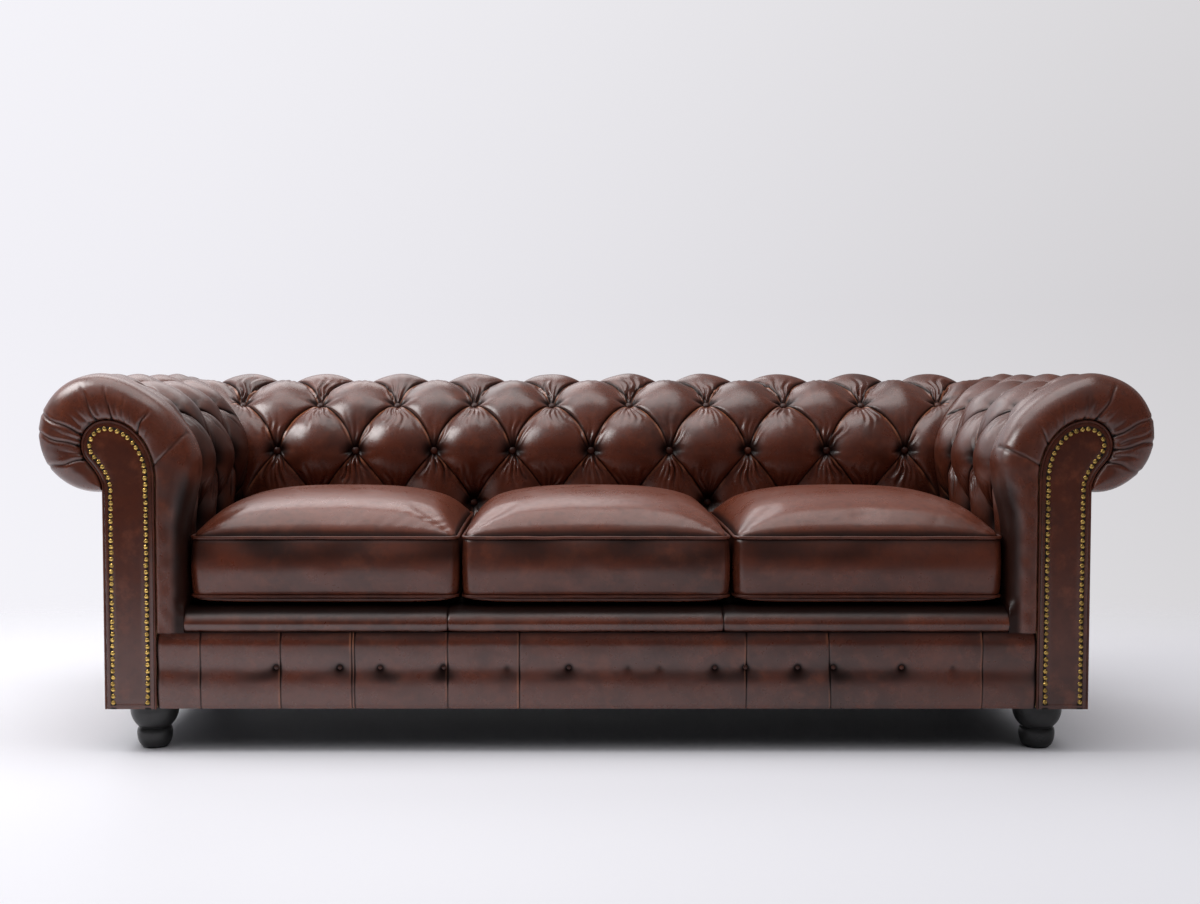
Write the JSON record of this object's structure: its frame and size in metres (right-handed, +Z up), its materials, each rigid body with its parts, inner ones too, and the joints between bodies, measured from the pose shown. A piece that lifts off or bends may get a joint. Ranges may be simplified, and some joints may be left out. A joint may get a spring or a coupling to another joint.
{
  "type": "chesterfield sofa",
  "caption": "Low-backed leather chesterfield sofa with deep-buttoned back and scroll arms, nail-trimmed arm facings, loose crowned seat cushions and turned feet.",
  "frame": {"origin": "on the floor, under the middle of the sofa's overall width and depth", "axes": "+X to the viewer's right along the sofa's width, +Y from the front to the back, +Z up; the seat faces -Y"},
  "size_m": [2.24, 0.92, 0.76],
  "materials": {
    "leather": "semi-gloss hand-rubbed brown",
    "leather_facing": "semi-gloss dark brown",
    "brass_nails": "polished, slightly aged",
    "black_foot": "turned, matte black stain",
    "hardwood": "sawn beech, unfinished",
    "jute_webbing": "woven jute",
    "deck_cloth": "felt over springs and padding",
    "foam": "open-cell foam",
    "dust_cloth": "thin black cambric"
  },
  "bodies": {
    "frame": {"left_inside_arm": "leather", "left_scroll_border": "leather", "left_outside_arm": "leather", "left_facing_welt": "leather", "left_arm_facing": "leather_facing", "left_nail_trim": "brass_nails", "left_scroll_board": "hardwood", "left_rear_post": "hardwood", "left_side_rail": "hardwood", "left_arm_top_rail": "hardwood", "left_arm_lower_rail": "hardwood", "left_cross_rail": "hardwood", "left_back_upright": "hardwood", "left_front_corner_block": "hardwood", "left_rear_corner_block": "hardwood", "left_front_foot": "black_foot", "left_rear_foot": "black_foot", "right_inside_arm": "leather", "right_scroll_border": "leather", "right_outside_arm": "leather", "right_facing_welt": "leather", "right_arm_facing": "leather_facing", "right_nail_trim": "brass_nails", "right_scroll_board": "hardwood", "right_rear_post": "hardwood", "right_side_rail": "hardwood", "right_arm_top_rail": "hardwood", "right_arm_lower_rail": "hardwood", "right_cross_rail": "hardwood", "right_back_upright": "hardwood", "right_front_corner_block": "hardwood", "right_rear_corner_block": "hardwood", "right_front_foot": "black_foot", "right_rear_foot": "black_foot", "inside_back": "leather", "outside_back": "leather", "front_lip": "leather", "front_border": "leather", "front_seat_rail": "hardwood", "back_seat_rail": "hardwood", "back_top_rail": "hardwood", "back_lower_rail": "hardwood", "seat_webbing": "jute_webbing", "seat_platform": "deck_cloth", "dust_cover": "dust_cloth"},
    "left_cushion": {"left_cushion_cover": "leather", "left_cushion_foam": "foam", "left_cushion_top_piping": "leather_facing", "left_cushion_bottom_piping": "leather_facing"},
    "middle_cushion": {"middle_cushion_cover": "leather", "middle_cushion_foam": "foam", "middle_cushion_top_piping": "leather_facing", "middle_cushion_bottom_piping": "leather_facing"},
    "right_cushion": {"right_cushion_cover": "leather", "right_cushion_foam": "foam", "right_cushion_top_piping": "leather_facing", "right_cushion_bottom_piping": "leather_facing"}
  },
  "joints": [
    {"name": "left_cushion_slide", "type": "slide", "parent": "frame", "child": "left_cushion", "axis": [0, -1, 0], "range_m": [0, 0.6]},
    {"name": "middle_cushion_slide", "type": "slide", "parent": "frame", "child": "middle_cushion", "axis": [0, -1, 0], "range_m": [0, 0.6]},
    {"name": "right_cushion_slide", "type": "slide", "parent": "frame", "child": "right_cushion", "axis": [0, -1, 0], "range_m": [0, 0.6]}
  ]
}
